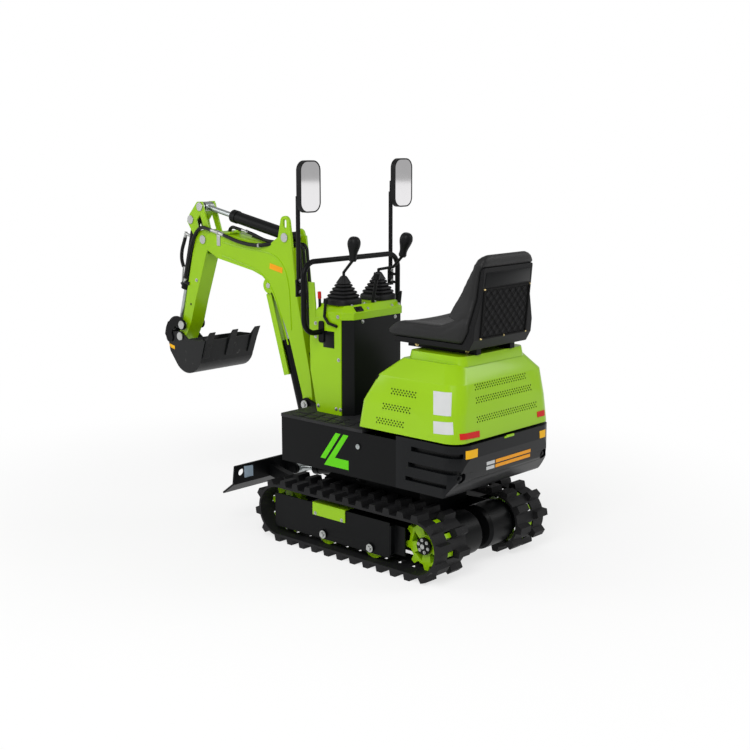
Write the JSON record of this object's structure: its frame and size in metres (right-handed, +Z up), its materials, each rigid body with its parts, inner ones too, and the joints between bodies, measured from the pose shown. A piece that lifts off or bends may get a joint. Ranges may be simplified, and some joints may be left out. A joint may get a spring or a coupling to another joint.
{
  "type": "mini excavator",
  "caption": "Compact crawler excavator with open seat, lever console, guard rail, mirrors, bent boom, arm, toothed bucket and dozer blade",
  "frame": {"origin": "centre of the bounding box at ground level", "axes": "+X towards the bucket, +Y to the operator's left, +Z up"},
  "size_m": [2.0216, 0.69, 1.5825],
  "materials": {
    "green_paint": "satin",
    "black_paint": "satin",
    "cast": "satin",
    "rubber": "matte",
    "steel": "satin",
    "chrome": "polished",
    "green_moulding": "satin",
    "black_plastic": "matte",
    "seat_skin": "satin",
    "mirror": "polished"
  },
  "bodies": {
    "undercarriage": {"track_left": "rubber", "track_right": "rubber", "drive_sprockets": "green_paint", "idler_wheels": "green_paint", "bottom_rollers": "green_paint", "track_frame_left": "black_paint", "track_frame_right": "black_paint", "frame_covers": "green_paint", "travel_motors": "black_paint", "car_body": "black_paint"},
    "blade": {"dozer_blade": "black_paint"},
    "blade_barrel_body": {"blade_barrel": "black_paint"},
    "blade_rod_body": {"blade_rod": "chrome"},
    "house": {"house_frame": "black_paint", "foot_mat": "rubber", "counterweight": "cast", "engine": "cast", "hood_hinge": "steel", "console": "black_plastic", "console_covers": "green_paint", "lever_gaiters": "rubber", "control_levers": "black_plastic", "guard_rail": "black_paint", "mirrors": "black_plastic", "mirror_glasses": "mirror"},
    "hood_body": {"hood": "green_moulding", "seat_rails": "steel", "seat_shell": "black_plastic", "seat_cushion": "seat_skin"},
    "boom_body": {"boom": "green_paint", "boom_pins": "steel", "boom_hoses": "rubber"},
    "boom_barrel_body": {"boom_barrel": "black_paint"},
    "boom_rod_body": {"boom_rod": "chrome", "rod_guard": "green_paint"},
    "arm_body": {"arm": "green_paint", "arm_pins": "steel"},
    "arm_barrel_body": {"arm_barrel": "black_paint"},
    "arm_rod_body": {"arm_rod": "chrome"},
    "bucket_barrel_body": {"bucket_barrel": "black_paint"},
    "bucket_rod_body": {"bucket_rod": "chrome"},
    "guide_link_body": {"guide_link": "black_paint"},
    "bucket_link_body": {"bucket_link": "black_paint"},
    "bucket_body": {"bucket": "black_paint", "bucket_teeth": "black_paint"}
  },
  "joints": [
    {"name": "slew", "type": "hinge", "parent": "undercarriage", "child": "house", "pos_m": [-0.4526, 0, 0.3], "axis": [0, 0, 1], "continuous": true},
    {"name": "blade_lift", "type": "hinge", "parent": "undercarriage", "child": "blade", "pos_m": [-0.1306, 0, 0.15], "axis": [0, -1, 0], "range_deg": [-32, 4]},
    {"name": "blade_barrel_turn", "type": "hinge", "parent": "undercarriage", "child": "blade_barrel_body", "pos_m": [-0.1446, 0, 0.258], "axis": [0, -1, 0], "range_deg": [-27.56, 3.98]},
    {"name": "blade_rod_slide", "type": "slide", "parent": "blade_barrel_body", "child": "blade_rod_body", "axis": [0.989, 0, -0.1477], "range_m": [-0.008, 0.0551]},
    {"name": "hood_open", "type": "hinge", "parent": "house", "child": "hood_body", "pos_m": [-0.5186, 0, 0.565], "axis": [0, 1, 0], "range_deg": [0, 25]},
    {"name": "boom_lift", "type": "hinge", "parent": "house", "child": "boom_body", "pos_m": [0.0344, 0, 0.529], "axis": [0, -1, 0], "range_deg": [-60, 15]},
    {"name": "boom_barrel_turn", "type": "hinge", "parent": "house", "child": "boom_barrel_body", "pos_m": [0.0874, 0, 0.42], "axis": [0, -1, 0], "range_deg": [-56.11, 15.05]},
    {"name": "boom_rod_slide", "type": "slide", "parent": "boom_barrel_body", "child": "boom_rod_body", "axis": [0.2959, 0, 0.9552], "range_m": [-0.1122, 0.0301]},
    {"name": "arm_crowd", "type": "hinge", "parent": "boom_body", "child": "arm_body", "pos_m": [0.7244, 0, 1.204], "axis": [0, 1, 0], "range_deg": [-60, 32]},
    {"name": "arm_barrel_turn", "type": "hinge", "parent": "boom_body", "child": "arm_barrel_body", "pos_m": [0.1684, 0, 1.244], "axis": [0, 1, 0], "range_deg": [-1.08, 0.64]},
    {"name": "arm_rod_slide", "type": "slide", "parent": "arm_barrel_body", "child": "arm_rod_body", "axis": [0.9821, 0, 0.1882], "range_m": [-0.142, 0.0777]},
    {"name": "bucket_curl", "type": "hinge", "parent": "arm_body", "child": "bucket_body", "pos_m": [0.8994, 0, 0.734], "axis": [0, 1, 0], "range_deg": [-85, 15]},
    {"name": "guide_link_turn", "type": "hinge", "parent": "arm_body", "child": "guide_link_body", "pos_m": [0.8714, 0, 0.793], "axis": [0, 1, 0], "range_deg": [-83.08, 16.23]},
    {"name": "bucket_link_turn", "type": "hinge", "parent": "guide_link_body", "child": "bucket_link_body", "pos_m": [0.9514, 0, 0.785], "axis": [0, 1, 0], "range_deg": [-15.9, 81.35]},
    {"name": "bucket_barrel_turn", "type": "hinge", "parent": "arm_body", "child": "bucket_barrel_body", "pos_m": [0.8094, 0, 1.292], "axis": [0, 1, 0], "range_deg": [-0.88, 3.33]},
    {"name": "bucket_rod_slide", "type": "slide", "parent": "bucket_barrel_body", "child": "bucket_rod_body", "axis": [0.2697, 0, -0.9629], "range_m": [-0.1063, 0.0208]}
  ],
  "couplings": [
    {"joint": "blade_barrel_turn", "follows": "blade_lift", "ratio": 0.8424},
    {"joint": "blade_rod_slide", "follows": "blade_lift", "m_per_rad": -0.09654},
    {"joint": "boom_barrel_turn", "follows": "boom_lift", "ratio": 0.9124},
    {"joint": "boom_rod_slide", "follows": "boom_lift", "m_per_rad": 0.10457},
    {"joint": "arm_barrel_turn", "follows": "arm_crowd", "ratio": 0.0156},
    {"joint": "arm_rod_slide", "follows": "arm_crowd", "m_per_rad": 0.13153},
    {"joint": "guide_link_turn", "follows": "bucket_curl", "ratio": 0.955},
    {"joint": "bucket_link_turn", "follows": "bucket_curl", "ratio": -0.935},
    {"joint": "bucket_barrel_turn", "follows": "bucket_curl", "ratio": -0.035},
    {"joint": "bucket_rod_slide", "follows": "bucket_curl", "m_per_rad": 0.07}
  ]
}
